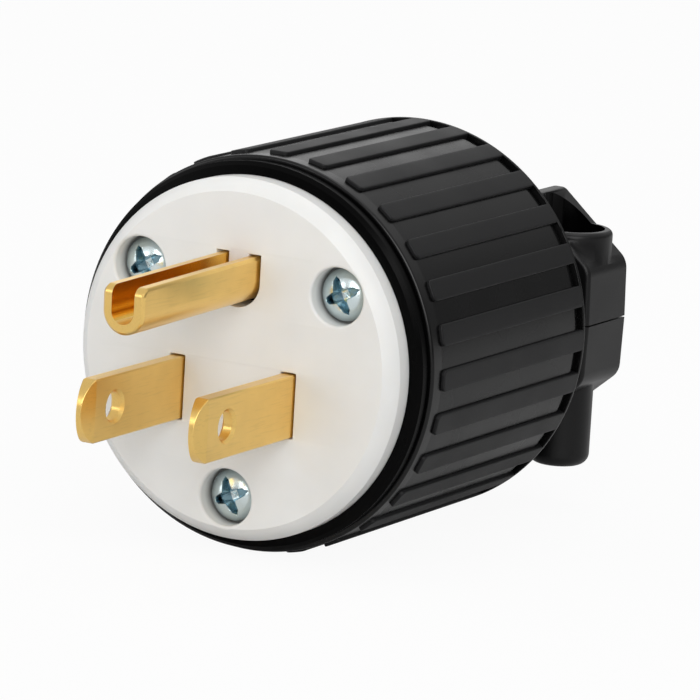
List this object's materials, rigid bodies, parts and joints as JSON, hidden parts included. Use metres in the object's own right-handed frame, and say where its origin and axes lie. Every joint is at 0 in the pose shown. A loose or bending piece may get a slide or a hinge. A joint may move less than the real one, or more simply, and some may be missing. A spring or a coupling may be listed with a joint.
{
  "type": "type b plug",
  "caption": "Round three-pin mains plug with flat brass blades, a folded grounding pin, a screwed white face, a ribbed black shell and a split cord clamp.",
  "frame": {"origin": "the middle of the flat mating face, on the plug's axis", "axes": "-Y along the blades out of the mating face, +Y along the plug towards the cord clamp, +Z towards the grounding pin"},
  "size_m": [0.0406, 0.0727, 0.0406],
  "materials": {
    "white_nylon": "moulded, satin",
    "black_nylon": "moulded, fine grain",
    "brass_blade": "stamped, lightly brushed",
    "brass_screw": "turned",
    "zinc_steel": "zinc plated, bright",
    "green_steel": "green plated"
  },
  "bodies": {
    "root": {"front_cover": "white_nylon", "terminal_block": "black_nylon", "housing": "black_nylon", "line_blade": "brass_blade", "neutral_blade": "brass_blade", "ground_pin": "brass_blade", "clamp_upper": "black_nylon", "clamp_lower": "black_nylon", "line_terminal_screw": "brass_screw", "neutral_terminal_screw": "zinc_steel", "ground_terminal_screw": "green_steel", "line_pressure_plate": "zinc_steel", "neutral_pressure_plate": "zinc_steel", "ground_pressure_plate": "zinc_steel", "assembly_screw_right": "zinc_steel", "assembly_insert_right": "brass_screw", "assembly_screw_left": "zinc_steel", "assembly_insert_left": "brass_screw", "assembly_screw_bottom": "zinc_steel", "assembly_insert_bottom": "brass_screw", "clamp_screw_right": "zinc_steel", "clamp_insert_right": "brass_screw", "clamp_screw_left": "zinc_steel", "clamp_insert_left": "brass_screw"}
  },
  "joints": []
}
